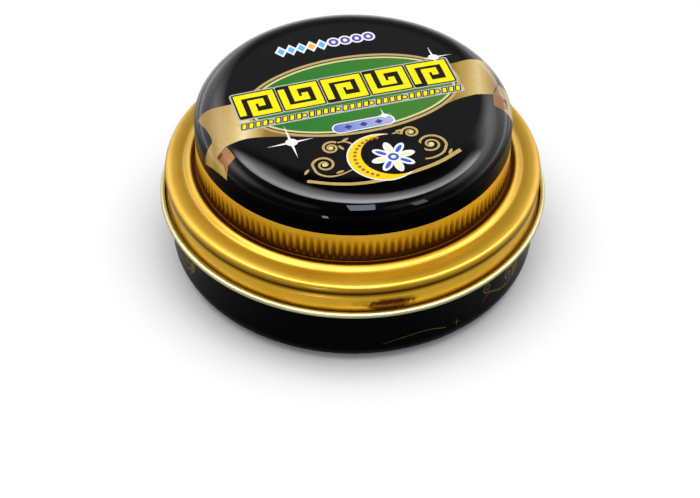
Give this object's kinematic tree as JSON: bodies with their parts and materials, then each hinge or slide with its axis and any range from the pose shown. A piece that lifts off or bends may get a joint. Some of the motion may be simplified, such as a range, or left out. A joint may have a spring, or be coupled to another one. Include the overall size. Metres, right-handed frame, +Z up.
{
  "type": "polish tin",
  "caption": "Round slip-lid tin for paste polish, with a stepped lid, knurled neck, curled lid edge, inner cover disc, foam applicator and wax cake.",
  "frame": {"origin": "centre of the base, on the surface that the tin stands on", "axes": "+Z up along the tin's axis; -Y is the side that faces the viewer, towards the lower edge of the lid's artwork"},
  "size_m": [0.112, 0.112, 0.0534],
  "materials": {
    "black_enamel": "gloss",
    "gold_lacquer": "gloss",
    "paste_wax": "satin",
    "milky_plastic": "satin",
    "foam": "matte",
    "sealing_compound": "matte"
  },
  "bodies": {
    "base": {"tin_base": "black_enamel", "wax_cake": "paste_wax"},
    "cover": {"cover_disc": "milky_plastic"},
    "applicator": {"applicator_sponge": "foam"},
    "seal": {"sealing_ring": "sealing_compound"},
    "lid": {"stepped_lid": "gold_lacquer"}
  },
  "joints": [
    {"name": "lid_lift", "type": "slide", "parent": "base", "child": "seal", "axis": [0, 0, 1], "range_m": [0, 0.09]},
    {"name": "lid_turn", "type": "hinge", "parent": "seal", "child": "lid", "pos_m": [0, 0, 0.03], "axis": [0, 0, 1], "continuous": true},
    {"name": "applicator_lift", "type": "slide", "parent": "base", "child": "applicator", "axis": [0, 0, 1], "range_m": [0, 0.045]},
    {"name": "cover_lift", "type": "slide", "parent": "base", "child": "cover", "axis": [0, 0, 1], "range_m": [0, 0.0225]}
  ],
  "couplings": [
    {"joint": "applicator_lift", "follows": "lid_lift", "ratio": 0.5},
    {"joint": "cover_lift", "follows": "lid_lift", "ratio": 0.25}
  ]
}
